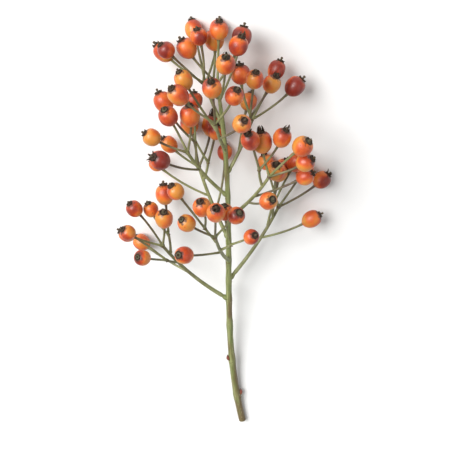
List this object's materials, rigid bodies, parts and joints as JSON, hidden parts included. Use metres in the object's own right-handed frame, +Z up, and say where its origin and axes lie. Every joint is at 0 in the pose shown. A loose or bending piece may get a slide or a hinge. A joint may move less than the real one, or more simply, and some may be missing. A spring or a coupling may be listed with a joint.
{
  "type": "rose hip sprig",
  "caption": "Cut sprig of small round rose hips on slender forked stalks along one green stem, lying on its side.",
  "frame": {"origin": "on the surface the sprig lies on, under the middle of its bounding box", "axes": "+Y along the stem from the cut end to the top, +Z up from the surface, +X to the right as seen from above with the top of the sprig away from the viewer"},
  "size_m": [0.1271, 0.2854, 0.0785],
  "materials": {
    "green_stem": "green bark, dull",
    "hip_skin": "waxy orange-red fruit skin"
  },
  "bodies": {
    "root": {"main_stem": "green_stem", "side_spray_1": "hip_skin", "side_spray_2": "hip_skin", "side_spray_3": "hip_skin", "side_spray_4": "hip_skin", "side_spray_5": "hip_skin", "side_spray_6": "hip_skin", "side_spray_7": "hip_skin", "side_spray_8": "hip_skin", "side_spray_9": "hip_skin", "top_spray": "hip_skin"}
  },
  "joints": []
}
